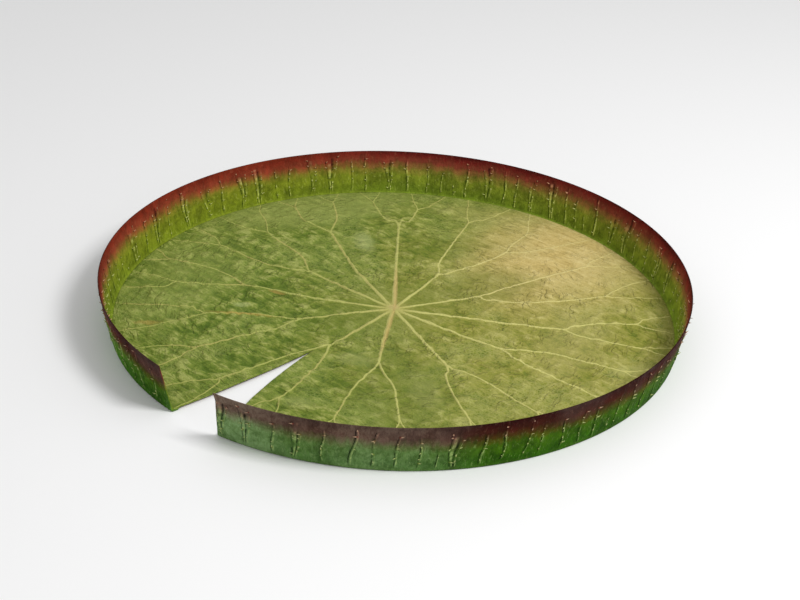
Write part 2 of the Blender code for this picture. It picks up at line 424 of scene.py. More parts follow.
def write_attribute(mesh, name, values):
    """Store one number for each vertex, for the material to read."""
    layer = mesh.attributes.new(name, "FLOAT", "POINT")
    layer.data.foreach_set("value", np.asarray(values, np.float32))


edge_share = [0.0] * (2 * ring_count)
write_attribute(blade_mesh, "vein", np.concatenate((share, under_share, edge_share)))
write_attribute(blade_mesh, "vein_near", np.concatenate((
    np.exp(-distance / 0.012), np.exp(-under_distance / 0.012), edge_share)))
# The wrinkle heights go to the material, which paints shade in the hollows and light on the crests.
write_attribute(blade_mesh, "fold", np.concatenate((upper_wrinkle, under_wrinkle, edge_share)))
blade_mesh.shade_smooth()


def paint(red, green, blue):
    """A colour given in per cent, as a paint chart reads it, turned into the renderer's own scale."""
    shares = (red / 100, green / 100, blue / 100)
    return tuple(c / 12.92 if c <= 0.04045 else ((c + 0.055) / 1.055) ** 2.4 for c in shares) + (1.0,)


def add_node(tree, kind, inputs=None, **settings):
    """Add a node with its settings, and feed its inputs with values or with other nodes' outputs."""
    made = tree.nodes.new(kind)
    for key, value in settings.items():
        setattr(made, key, value)
    for key, value in (inputs or {}).items():
        if isinstance(value, bpy.types.NodeSocket):
            tree.links.new(value, made.inputs[key])
        else:
            made.inputs[key].default_value = value
    return made


def mix(tree, factor, first, second, blend="MIX"):
    """Colour between two others, each another node's output or a colour in per cent."""
    first, second = (paint(*colour) if isinstance(colour, tuple) else colour for colour in (first, second))
    inputs = {0: factor, 6: first, 7: second}
    return add_node(tree, "ShaderNodeMix", inputs, data_type="RGBA", blend_type=blend).outputs[2]


def calc(tree, operation, first, second=0.0, third=0.0):
    """One sum on two or three numbers."""
    inputs = {0: first, 1: second, 2: third}
    return add_node(tree, "ShaderNodeMath", inputs, operation=operation).outputs[0]


def times(tree, first, second):
    """Product of two numbers."""
    return calc(tree, "MULTIPLY", first, second)


def times_add(tree, first, second, third):
    """Product of two numbers plus a third."""
    return calc(tree, "MULTIPLY_ADD", first, second, third)


def swung(tree, base, value, amount):
    """A number moved up and down by a noise value, which swings about a half."""
    return times_add(tree, calc(tree, "SUBTRACT", value, 0.5), amount, base)


def vector_math(tree, operation, inputs):
    """One sum on vectors, with a vector out."""
    return add_node(tree, "ShaderNodeVectorMath", inputs, operation=operation).outputs[0]


def vector_length(tree, vector):
    """Length of a vector."""
    return add_node(tree, "ShaderNodeVectorMath", {0: vector}, operation="LENGTH").outputs["Value"]


def part_of(tree, vector, axis):
    """One part of a vector, by the name of its axis."""
    return add_node(tree, "ShaderNodeSeparateXYZ", {0: vector}).outputs[axis]


def stretched(tree, where, turn, scale):
    """A place turned by some degrees about Z, then scaled, to draw a noise out in one direction."""
    inputs = {"Vector": where, "Rotation": (0, 0, math.radians(turn)), "Scale": scale}
    return add_node(tree, "ShaderNodeMapping", inputs, vector_type="POINT").outputs[0]


def cell_edge(tree, where, scale):
    """Distance to the edge of the nearest of some random cells."""
    inputs = {"Vector": where, "Scale": scale}
    return add_node(tree, "ShaderNodeTexVoronoi", inputs, feature="DISTANCE_TO_EDGE").outputs["Distance"]


def brighten(tree, colour, factor, share=1.0):
    """A colour times a number, or a share of the way there."""
    grey = add_node(tree, "ShaderNodeCombineColor", {0: factor, 1: factor, 2: factor}).outputs[0]
    return mix(tree, share, colour, grey, "MULTIPLY")


def fit(tree, value, low, high, to_low=0.0, to_high=1.0, curve="SMOOTHSTEP"):
    """Spread a range of values over another range."""
    inputs = {"Value": value, 1: low, 2: high, 3: to_low, 4: to_high}
    return add_node(tree, "ShaderNodeMapRange", inputs, interpolation_type=curve).outputs["Result"]


def ramp(tree, value, stops):
    """Colours along a scale, each stop being (place, colour in per cent)."""
    made = add_node(tree, "ShaderNodeValToRGB", {"Fac": value})
    made.color_ramp.interpolation = "EASE"
    elements = made.color_ramp.elements
    stops = [(place, paint(*colour)) for place, colour in stops]
    elements[0].position, elements[0].color = stops[0]
    elements[1].position, elements[1].color = stops[-1]
    for place, colour in stops[1:-1]:
        elements.new(place).color = colour
    return made.outputs["Color"]


def cloud_noise(tree, where, scale, detail=4.0, roughness=0.55, distortion=0.0):
    """A noise value over a place."""
    inputs = {"Vector": where, "Scale": scale, "Detail": detail, "Roughness": roughness}
    return add_node(tree, "ShaderNodeTexNoise", {**inputs, "Distortion": distortion}).outputs["Fac"]


def new_group(name, inputs, outputs):
    """An empty node group with named numbers or vectors in and out. Returns it and its two end nodes."""
    group = bpy.data.node_groups.new(name, "ShaderNodeTree")
    for socket, kind in inputs:
        group.interface.new_socket(socket, in_out="INPUT", socket_type=kind)
    for socket, kind in outputs:
        group.interface.new_socket(socket, in_out="OUTPUT", socket_type=kind)
    return group, group.nodes.new("NodeGroupInput"), group.nodes.new("NodeGroupOutput")


def use_group(tree, group, **inputs):
    """Place a group in a material with that material's own values."""
    return add_node(tree, "ShaderNodeGroup", inputs, node_tree=group).outputs


def make_leaf_net():
    """The net of small veins in the tissue: coarse cells with finer ones inside them."""
    group, start, end = new_group(
        "leaf_net",
        [("Place", "NodeSocketVector"), ("Cells", "NodeSocketFloat"), ("Wander", "NodeSocketFloat")],
        [("Net", "NodeSocketFloat"), ("Relief", "NodeSocketFloat")],
    )
    place = start.outputs["Place"]
    push = add_node(group, "ShaderNodeTexNoise", {"Vector": place, "Scale": 28.0, "Detail": 3.0})
    centred = vector_math(group, "SUBTRACT", {0: push.outputs["Color"], 1: (0.5, 0.5, 0.5)})
    pushed = vector_math(group, "SCALE", {0: centred, "Scale": start.outputs["Wander"]})
    where = vector_math(group, "ADD", {0: place, 1: pushed})
    coarse = cell_edge(group, where, start.outputs["Cells"])
    fine = cell_edge(group, where, times(group, start.outputs["Cells"], 2.9))
    coarse_line = fit(group, coarse, 0.0, 0.09, 1.0, 0.0)
    fine_line = fit(group, fine, 0.0, 0.26, 0.75, 0.0)
    net = calc(group, "MAXIMUM", coarse_line, fine_line)
    grain = cloud_noise(group, where, 260.0, 3.0, 0.6)
    group.links.new(net, end.inputs["Net"])
    group.links.new(times_add(group, grain, 0.7, net), end.inputs["Relief"])
    return group


def make_leaf_mottle():
    """Uneven growth of the tissue: broad patches, blotches with torn edges, and specks."""
    group, start, end = new_group(
        "leaf_mottle",
        [("Place", "NodeSocketVector")],
        [("Patches", "NodeSocketFloat"), ("Blotches", "NodeSocketFloat"), ("Specks", "NodeSocketFloat")],
    )
    place = start.outputs["Place"]
    group.links.new(cloud_noise(group, place, 5.5, 3.0, 0.5, 0.4), end.inputs["Patches"])
    group.links.new(cloud_noise(group, place, 26.0, 6.0, 0.68, 0.5), end.inputs["Blotches"])
    group.links.new(cloud_noise(group, place, 150.0, 3.0, 0.6), end.inputs["Specks"])
    return group


def make_leaf_crease():
    """Short sharp creases that mostly run round the leaf: their mask, and a relief that sinks in them."""
    group, start, end = new_group(
        "leaf_crease",
        [("Place", "NodeSocketVector"), ("Around", "NodeSocketFloat"), ("Across", "NodeSocketFloat")],
        [("Crease", "NodeSocketFloat"), ("Relief", "NodeSocketFloat")],
    )
    place = start.outputs["Place"]
    flat = vector_math(group, "MULTIPLY", {0: place, 1: (1.0, 1.0, 0.0)})
    bearing = vector_math(group, "NORMALIZE", {0: flat})
    turned = vector_math(group, "SCALE", {0: bearing, "Scale": start.outputs["Around"]})
    reach = vector_length(group, flat)
    sway = times(group, cloud_noise(group, place, 11.0, 2.0), 2.2)
    depth = times_add(group, reach, start.outputs["Across"], sway)
    rise = add_node(group, "ShaderNodeCombineXYZ", {"Z": depth}).outputs[0]
    where = vector_math(group, "ADD", {0: turned, 1: rise})
    waves = cloud_noise(group, where, 1.0, 2.0, 0.5)
    away = calc(group, "ABSOLUTE", calc(group, "SUBTRACT", waves, 0.5))
    broken = fit(group, cloud_noise(group, place, 16.0, 2.0), 0.42, 0.60)
    broken = times(group, broken, fit(group, reach, 0.05, 0.20))
    line = times(group, fit(group, away, 0.0, 0.06, 1.0, 0.0), broken)
    relief = calc(group, "SUBTRACT", times(group, fit(group, away, 0.0, 0.16), broken), line)
    group.links.new(line, end.inputs["Crease"])
    group.links.new(relief, end.inputs["Relief"])
    return group


leaf_net = make_leaf_net()
leaf_crease = make_leaf_crease()
leaf_mottle = make_leaf_mottle()


def new_material(name, roughness, specular):
    """A material with a plain shader. Returns the material, its tree and the shader."""
    material = bpy.data.materials.new(name)
    material.use_nodes = True
    shader = material.node_tree.nodes["Principled BSDF"]
    shader.inputs["Roughness"].default_value = roughness
    shader.inputs["Specular IOR Level"].default_value = specular
    return material, material.node_tree, shader


def place_on_piece(tree):
    """Where the material is asked for, in the piece's own frame."""
    return add_node(tree, "ShaderNodeTexCoord").outputs["Object"]


def read_attribute(tree, name):
    """A number stored on the piece."""
    return add_node(tree, "ShaderNodeAttribute", attribute_name=name).outputs["Fac"]


def patch(tree, where, centre, reach, turn, edge_noise, softness):
    """A soft oval on the piece: its centre, its half length and half width, and its turn in degrees."""
    inputs = {"Location": (*centre, 0.0), "Rotation": (0, 0, math.radians(turn)), "Scale": (*reach, 1.0)}
    mapping = add_node(tree, "ShaderNodeMapping", {"Vector": where, **inputs}, vector_type="TEXTURE")
    torn = swung(tree, vector_length(tree, mapping.outputs[0]), edge_noise, 1.1)
    return fit(tree, torn, 1.0 + softness, 1.0 - softness)


def stain(tree, where, colour, marks, edge_noise):
    """Lay a list of soft marks over a colour."""
    for centre, reach, turn, mark_colour, amount in marks:
        spot = patch(tree, where, centre, reach, turn, edge_noise, 0.5)
        colour = mix(tree, times(tree, spot, amount), colour, mark_colour)
    return colour


def bump(tree, height, distance):
    """A small relief that the mesh is too coarse for."""
    return add_node(tree, "ShaderNodeBump", {"Height": height, "Distance": distance}).outputs["Normal"]


def make_upper_material():
    """The upper face: green to the left, yellower to the right, with a tan area at the back."""
    material, tree, shader = new_material("blade_upper", 0.55, 0.14)
    where = place_on_piece(tree)
    mottle = use_group(tree, leaf_mottle, Place=where)
    net = use_group(tree, leaf_net, Place=where, Cells=44.0, Wander=0.012)
    crease = use_group(tree, leaf_crease, Place=where, Around=9.0, Across=44.0)
    streaks = cloud_noise(tree, stretched(tree, where, 3.0, (0.16, 1.0, 1.0)), 120.0, 5.0, 0.68, 0.35)
    bands = cloud_noise(tree, stretched(tree, where, -40.0, (0.22, 1.0, 1.0)), 66.0, 6.0, 0.74, 0.6)
    torn = mottle["Patches"]
    right_half = patch(tree, where, (0.42, 0.28), (0.72, 0.54), 125.0, torn, 0.60)
    calmer = times_add(tree, torn, 0.5, 0.25)
    tan_area = patch(tree, where, (0.150, 0.585), (0.31, 0.21), 98.0, calmer, 0.75)

    tone = swung(tree, times_add(tree, mottle["Blotches"], 0.80, 0.10), mottle["Specks"], 0.45)
    # Painted shade and light: the colour darkens in the hollows of the wrinkles and lightens on their crests.
    tone = times_add(tree, read_attribute(tree, "fold"), 0.24, tone)
    tone = swung(tree, tone, streaks, times(tree, right_half, 0.95))
    band_share = times_add(tree, right_half, -0.65, 1.0)
    tone = swung(tree, tone, bands, times(tree, band_share, 1.50))
    tone = swung(tree, 0.53, tone, times_add(tree, right_half, -0.36, 1.30))
    green = ramp(tree, tone, [
        (0.20, (32, 42, 10)), (0.42, (43, 51, 17)), (0.58, (51, 57, 23)), (0.80, (66, 69, 37))])
    yellow = ramp(tree, tone, [
        (0.22, (41, 46, 13)), (0.42, (54, 55, 21)), (0.58, (61, 60, 28)), (0.80, (73, 71, 41))])
    tan = ramp(tree, tone, [
        (0.24, (70, 60, 34)), (0.42, (78, 69, 42)), (0.56, (83, 74, 47)), (0.78, (89, 81, 55))])
    skin_colour = mix(tree, right_half, green, yellow)
    skin_colour = mix(tree, tan_area, skin_colour, tan)

    line_share = times_add(tree, tan_area, -0.75, 1.0)
    # Painted shade: the creases are darkened where shade falls in them, less in the tan area. The same dark
    # colour also makes the random dark specks.
    dark = mix(tree, right_half, (31, 39, 9), (44, 43, 14))
    crease_shade = times(tree, times(tree, crease["Crease"], 0.40), line_share)
    skin_colour = mix(tree, crease_shade, skin_colour, dark)
    worn = times(tree, net["Net"], fit(tree, torn, 0.44, 0.62, 0.04, 0.50))
    net_colour = mix(tree, tan_area, mix(tree, right_half, (64, 68, 36), (74, 72, 44)), (84, 78, 54))
    skin_colour = mix(tree, worn, skin_colour, net_colour)
    near = times(tree, read_attribute(tree, "vein_near"), 0.12)
    skin_colour = mix(tree, near, skin_colour, (64, 64, 30))
    speck = times(tree, fit(tree, mottle["Specks"], 0.60, 0.70, 0.0, 0.5), line_share)
    skin_colour = mix(tree, speck, skin_colour, dark)
    skin_colour = stain(tree, where, skin_colour, blemishes, mottle["Blotches"])

    left_vein = mix(tree, fit(tree, torn, 0.42, 0.6), (72, 74, 40), (74, 72, 41))
    vein_tone = mix(tree, right_half, left_vein, (83, 81, 50))
    vein_tone = mix(tree, tan_area, vein_tone, (86, 80, 54))
    vein = fit(tree, read_attribute(tree, "vein"), 0.02, 0.60, 0.0, 0.86)
    skin_colour = mix(tree, vein, skin_colour, vein_tone)
    skin_colour = stain(tree, where, skin_colour, vein_stains, mottle["Blotches"])
    tree.links.new(skin_colour, shader.inputs["Base Color"])
    rough = fit(tree, mottle["Blotches"], 0.3, 0.7, 0.62, 0.48)
    tree.links.new(rough, shader.inputs["Roughness"])
    relief = times_add(tree, net["Relief"], 0.6, times(tree, mottle["Blotches"], 2.2))
    relief = times_add(tree, streaks, 1.2, relief)
    relief = times_add(tree, times(tree, bands, band_share), 4.5, relief)
    relief = times_add(tree, crease["Relief"], 1.2, relief)
    tree.links.new(bump(tree, relief, 0.0013), shader.inputs["Normal"])
    return material


# Marks on the upper face, then stains that also cover its veins: centre, half length and half width, turn in
# degrees, colour in per cent, strength.
blemishes = (
    ((-0.309, 0.244), (0.055, 0.026), 140.0, (68, 72, 46), 0.50),
    ((-0.300, -0.254), (0.022, 0.010), 38.0, (70, 74, 46), 0.60),
    ((0.094, -0.261), (0.050, 0.030), 30.0, (62, 65, 38), 0.45),
    ((0.317, -0.276), (0.062, 0.034), -40.0, (64, 65, 38), 0.45),
    ((0.120, -0.504), (0.036, 0.024), 10.0, (64, 67, 38), 0.45),
    ((0.620, 0.150), (0.050, 0.022), 60.0, (70, 70, 42), 0.40),
    ((-0.060, -0.180), (0.110, 0.060), 30.0, (38, 46, 12), 0.35),
    ((-0.120, 0.360), (0.120, 0.060), 60.0, (37, 45, 11), 0.35),
    ((-0.550, 0.330), (0.300, 0.110), 60.0, (60, 64, 33), 0.70),
    ((0.440, 0.150), (0.150, 0.080), 105.0, (72, 68, 42), 0.30),
    ((-0.520, -0.240), (0.260, 0.110), -65.0, (58, 63, 31), 0.38),
    ((0.257, -0.306), (0.220, 0.110), -50.0, (42, 48, 17), 0.42),
    ((0.105, 0.255), (0.140, 0.085), 68.0, (46, 49, 18), 0.48),
    ((0.0, 0.0), (0.150, 0.150), 0.0, (44, 48, 17), 0.40),
    ((-0.165, 0.610), (0.140, 0.060), 15.0, (72, 70, 42), 0.30),
)
vein_stains = (
    ((0.0, 0.0), (0.040, 0.040), 0.0, (68, 65, 35), 0.45),
    ((-0.004, 0.002), (0.014, 0.014), 0.0, (76, 70, 44), 0.80),
    ((-0.283, -0.140), (0.022, 0.006), 16.0, (70, 57, 29), 0.60),
    ((-0.412, -0.479), (0.032, 0.010), 45.0, (70, 60, 30), 0.55),
    ((-0.268, -0.288), (0.075, 0.006), 32.0, (73, 62, 30), 0.60),
    ((-0.068, 0.087), (0.110, 0.005), 128.0, (77, 66, 42), 0.65),
    ((0.056, -0.095), (0.110, 0.005), -59.4, (77, 66, 40), 0.60),
)


def make_under_material():
    """The lower face, which faces the water: dull maroon over green, with paler ribs."""
    material, tree, shader = new_material("blade_under", 0.6, 0.3)
    where = place_on_piece(tree)
    mottle = use_group(tree, leaf_mottle, Place=where)
    net = use_group(tree, leaf_net, Place=where, Cells=26.0, Wander=0.016)
    flesh = ramp(tree, mottle["Blotches"], [
        (0.30, (30, 18, 14)), (0.48, (40, 28, 18)), (0.70, (46, 41, 20))])
    flesh = mix(tree, times(tree, net["Net"], 0.4), flesh, (54, 46, 28))
    rib = fit(tree, read_attribute(tree, "vein"), 0.05, 0.6, 0.0, 0.9)
    flesh = mix(tree, rib, flesh, (60, 55, 33))
    tree.links.new(flesh, shader.inputs["Base Color"])
    tree.links.new(bump(tree, net["Relief"], 0.0016), shader.inputs["Normal"])
    return material


blade_mesh.materials.append(make_upper_material())
blade_mesh.materials.append(make_under_material())
under_first = len(upper_faces)
under_last = under_first + len(under_faces)
for polygon in blade_mesh.polygons[under_first:under_last]:
    polygon.material_index = 1
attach(blade, "root")
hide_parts("leaf")


# --- Rim --------------------------------------------------------------------------------------------------
# The wall that stands up round the leaf, one tissue with the blade: about 4 mm thick at its foot, 2.6 mm at
# its lip, a little flared, with a thick fold below. Thin ribs climb both its faces, and it ends at the notch.
rim_foot_thickness = 0.0042
rim_lip_thickness = 0.0026
wall_rows = 23
outer_fold_radius = 0.006
inner_fold_radius = 0.005
foot_band = 0.012
wall_lean = math.atan2(rim_height, lip_radius - foot_radius)
wall_facing = wall_lean - math.pi / 2
outer_ridge = 0.0019            # how far a full rib stands out of the wall
inner_ridge = 0.0015
dent_depth = 0.0007
pit_depth = 0.0005
column_gap = 0.0066             # widest gap between the mesh's columns
notch_turn = 0.2024             # angle that the notch takes out of the rim
first_rib = 0.016
last_rib_margin = 0.014
fork_chance = 0.26
short_rib_chance = 0.16


def start_editing():
    """Open the active piece for editing, with all of it selected."""
    bpy.ops.object.mode_set(mode="EDIT")
    bpy.ops.mesh.select_all(action="SELECT")


def end_editing():
    """Turn every face outwards and close the piece again."""
    bpy.ops.mesh.select_all(action="SELECT")
    bpy.ops.mesh.normals_make_consistent(inside=False)
    bpy.ops.object.mode_set(mode="OBJECT")


def arc(centre, radius, start, end, steps):
    """Points along an arc of the section."""
    turn = np.linspace(start, end, steps + 1)
    return np.stack((centre[0] + radius * np.cos(turn), centre[1] + radius * np.sin(turn)), axis=1)


def rim_section():
    """The rim's closed section as (radius, height), from its outer fold up, over the lip and down inside."""
    outer_back = outer_fold_radius / math.tan((math.pi - wall_lean) / 2)
    outer_centre = (foot_radius - outer_back, outer_fold_radius)
    outer_fold = arc(outer_centre, outer_fold_radius, -math.pi / 2, wall_facing, 5)
    lip_half = rim_lip_thickness / 2
    lip = arc((lip_radius - lip_half, rim_height - lip_half), lip_half, wall_facing, wall_facing + math.pi, 6)
    fold_floor = blade_top - 0.0006
    inner_foot = foot_radius - rim_foot_thickness / math.sin(wall_lean) + fold_floor / math.tan(wall_lean)
    inner_back = inner_fold_radius / math.tan((math.pi - wall_lean) / 2)
    inner_centre = (inner_foot - inner_back, fold_floor + inner_fold_radius)
    inner_fold = arc(inner_centre, inner_fold_radius, wall_facing, -math.pi / 2, 4)
    outer_wall = np.linspace(outer_fold[-1], lip[0], wall_rows + 1)[1:-1]
    inner_wall = np.linspace(lip[-1], inner_fold[0], wall_rows + 1)[1:-1]
    band_inside = outer_centre[0] - foot_band
    hidden = np.array([
        (inner_centre[0] - 0.004, fold_floor - 0.0010),
        (band_inside - blade_under, blade_under + 0.0007),
        (band_inside, rest_height),
        (outer_centre[0] - foot_band / 2, rest_height),
    ])
    section = np.concatenate((outer_fold, outer_wall, lip, inner_wall, inner_fold, hidden))
    section[:, 1] = np.maximum(section[:, 1], rest_height)
    return section


# Ribs of the rim, in order round it. Each has its foot's place along the rim, how it leans and sways as it
# climbs, its half width and the share of the height that it reaches. Some come in pairs that part higher up.
rim_ribs = []
rim_length = foot_radius * (2 * math.pi - notch_turn)
place = first_rib
while place < rim_length - last_rib_margin:
    rib = {"foot": place, "lean": rng.uniform(-0.010, 0.010), "sway": rng.uniform(0.0012, 0.0040),
           "phase": rng.uniform(0, 6.28), "half": rng.uniform(0.0022, 0.0034),
           "top": rng.uniform(0.80, 1.0), "part": 0.0, "from": 0.0, "strength": rng.uniform(0.7, 1.0)}
    rim_ribs.append(rib)
    if rng.random() < fork_chance and place < rim_length - 0.07:
        parting = rng.uniform(0.016, 0.036)
        rib["part"] = -0.35 * parting
        twin = dict(rib, foot=place + 0.0060, part=0.65 * parting, half=rib["half"] * 0.85,
                    top=rng.uniform(0.65, 1.0))
        twin["from"] = rib["from"] = rng.uniform(0.0, 0.30)
        rim_ribs.append(twin)
        place += 0.018
    elif rng.random() < short_rib_chance:
        rib["half"] *= 0.6
        rib["top"] = rng.uniform(0.35, 0.6)
        place -= 0.012
    place += rng.uniform(0.036, 0.062)
rib_feet = np.array([rib["foot"] for rib in rim_ribs])


def rib_shift(rib, share):
    """How far a rib has moved along the rim at a share of the height."""
    climb = min(max((share - rib["from"]) / (1.0 - rib["from"]), 0.0), 1.0)
    sway = rib["sway"] * (math.sin(7.5 * share + rib["phase"]) - math.sin(rib["phase"]))
    return rib["lean"] * share + sway + rib["part"] * climb**0.8


def rim_columns():
    """Places along the rim for the mesh's columns: close together on each rib and even in between."""
    steps = (-1.6, -0.95, -0.4, 0.4, 0.95, 1.6)
    near = np.concatenate([rib["foot"] + rib["half"] * np.array(steps) for rib in rim_ribs])
    near = np.sort(np.concatenate(([0.0, rim_length], near)))
    near = near[np.concatenate(([True], np.diff(near) > 0.0005))]
    columns = []
    for a, b in zip(near, near[1:]):
        count = max(1, math.ceil((b - a) / column_gap))
        columns.extend(a + (b - a) * np.arange(count) / count)
    columns.append(rim_length)
    return np.array(columns)


def rim_angle(along, radius, height):
    """Angle about the leaf's centre of a place along the rim, which runs between the notch's two edges."""
    ends = []
    for side in ("right", "left"):
        edge = notch_edge(side, notch_reach(side, radius, height), height)
        ends.append(math.atan2(edge[1], edge[0]))
    return ends[0] + (ends[1] + 2 * math.pi - ends[0]) * along / rim_length


section = rim_section()
columns = rim_columns()
section_size = len(section)
column_count = len(columns)

marks = {name: np.zeros((section_size + 1, column_count)) for name in ("rib", "painted_shade_flank", "painted_highlight_flank", "outer")}
bpy.ops.mesh.primitive_grid_add(x_subdivisions=column_count - 1, y_subdivisions=section_size, size=1.0)
rim = bpy.context.active_object
rim.name = "rim"

nearest_rib = np.abs(columns[:, None] - rib_feet[None, :]).argmin(axis=1)
rib_half, rib_top, rib_strength = (
    np.array([rib[key] for rib in rim_ribs])[nearest_rib] for key in ("half", "top", "strength"))
rib_gap = np.abs(columns - rib_feet[nearest_rib]) / rib_half
rib_side = np.sign(columns - rib_feet[nearest_rib])
rib_shape = np.clip(1 - (rib_gap / 1.15) ** 2, 0, 1) ** 1.3 * rib_strength

wall_outside = (math.cos(wall_facing), math.sin(wall_facing))
coordinates = np.zeros((section_size + 1, column_count, 3))
end_fade = np.clip(np.minimum(columns, rim_length - columns) / 0.012, 0, 1)
for j, (radius, height) in enumerate(section):
    share_up = height / rim_height
    shift = np.interp(columns, rib_feet, [rib_shift(rib, share_up) for rib in rim_ribs]) * end_fade
    angle = rim_angle(columns + shift, radius, height)
    middle = foot_radius + (lip_radius - foot_radius) * share_up - rim_foot_thickness * 0.45
    outer = 1.0 if radius > middle or height < 0.006 else 0.0
    on_wall = np.clip((share_up - 0.05) / 0.08, 0, 1) * np.clip((1.0 - share_up) / 0.05, 0, 1)
    taper = np.clip((rib_top - share_up) / 0.12, 0, 1) * (1.0 - 0.30 * share_up)
    knots = np.array([noise.noise((k * 3.7, height / 0.011, outer * 5.0)) for k in nearest_rib])
    ridge = rib_shape * taper * np.clip(0.85 + 0.9 * knots, 0.35, 1.5)
    around = np.stack((np.cos(angle), np.sin(angle)), axis=1)
    dents, pits = (
        np.array([noise.noise((x * fine, y * fine, share_up * rise + outer * 9.0)) for x, y in around])
        for fine, rise in ((26.0, 4.0), (85.0, 11.0)))
    lift = ridge * (outer_ridge if outer else inner_ridge)
    lift += (dent_depth * dents + pit_depth * pits) * on_wall
    sign = 1.0 if outer else -1.0
    radii = radius + sign * lift * on_wall * wall_outside[0]
    coordinates[j, :, :2] = around * radii[:, None]
    coordinates[j, :, 2] = height + sign * lift * on_wall * wall_outside[1]
    marks["rib"][j] = ridge * on_wall
    # Painted shade on each rib's side away from the light, and a painted highlight on the side towards it.
    shaded_flank = np.exp(-((rib_gap - 1.05) / 0.50) ** 2) * np.where(rib_side * sign > 0, 0.15, 1.0)
    marks["painted_shade_flank"][j] = shaded_flank * rib_strength * taper * on_wall * np.clip(0.85 + 1.2 * knots, 0.3, 1.2)
    lit_flank = np.exp(-((rib_gap * rib_side * sign - 0.70) / 0.60) ** 2)
    marks["painted_highlight_flank"][j] = lit_flank * rib_strength * taper * on_wall * np.clip(0.90 + 1.4 * knots, 0.35, 1.3)
    marks["outer"][j] = outer
for grid in (coordinates, *marks.values()):
    grid[section_size] = grid[0]

rim.data.vertices.foreach_set("co", coordinates.reshape(-1))
rim.data.update()
for name, grid in marks.items():
    write_attribute(rim.data, name, grid.reshape(-1))
start_editing()
bpy.ops.mesh.remove_doubles(threshold=0.000001)
bpy.ops.mesh.select_mode(type="EDGE")
bpy.ops.mesh.select_all(action="DESELECT")
bpy.ops.mesh.select_non_manifold()
bpy.ops.mesh.fill_holes(sides=0)
end_editing()
rim.data.shade_smooth()
rim.data.set_sharp_from_angle(angle=math.radians(60))


def rim_colour(tree, where, rib):
    """Colours of the rim by height, from green at the foot to crimson at the lip."""
    mottle = use_group(tree, leaf_mottle, Place=where)
    streaks = cloud_noise(tree, stretched(tree, where, 0.0, (1.0, 1.0, 0.16)), 75.0, 4.0, 0.6, 0.3)
    ragged = calc(tree, "DIVIDE", part_of(tree, where, "Z"), rim_height)
    for value, amount in ((streaks, 0.22), (mottle["Patches"], 0.26), (mottle["Blotches"], 0.20)):
        ragged = swung(tree, ragged, value, amount)
    ragged = times_add(tree, rib, -0.04, ragged)
    inside = ramp(tree, ragged, [
        (0.00, (48, 56, 17)), (0.12, (44, 52, 14)), (0.44, (47, 52, 15)), (0.56, (52, 50, 19)),
        (0.68, (53, 38, 20)), (0.80, (50, 23, 17)), (0.94, (43, 13, 11)), (1.0, (31, 8, 7))])
    # The outer face runs darker than the inner face: partly its own colour, partly painted shade.
    outside = ramp(tree, ragged, [
        (0.00, (23, 38, 7)), (0.12, (18, 35, 2)), (0.44, (23, 37, 3)), (0.56, (27, 29, 4)),
        (0.66, (26, 18, 4)), (0.78, (24, 9, 4)), (0.94, (19, 4, 3)), (1.0, (14, 4, 3))])
    dusk = fit(tree, mottle["Patches"], 0.46, 0.58, 0.0, 0.30)
    outside = mix(tree, times(tree, dusk, fit(tree, ragged, 0.55, 0.70)), outside, (38, 30, 27))
    x = part_of(tree, where, "X")
    # Painted light: the outer face is lighter towards -X, the front left, where the key light does not reach
    # it.
    outside = brighten(tree, outside, fit(tree, x, -0.08, -0.36, 1.0, 1.75))
    warm = mix(tree, fit(tree, ragged, 0.5, 0.75), (53, 56, 10), (61, 24, 13))
    inside = mix(tree, fit(tree, x, -0.40, -0.75, 0.0, 0.40), inside, warm)
    # Painted light: the inner face is lighter towards +X, where it faces away from the key light.
    inside = brighten(tree, inside, fit(tree, x, 0.15, 0.72, 1.0, 1.47))
    colour = mix(tree, read_attribute(tree, "outer"), inside, outside)
    blotch = fit(tree, mottle["Blotches"], 0.32, 0.68, 0.52, 1.46, "LINEAR")
    blotch = times(tree, blotch, fit(tree, streaks, 0.34, 0.66, 0.84, 1.16, "LINEAR"))
    return brighten(tree, colour, blotch, 0.85), ragged, mottle


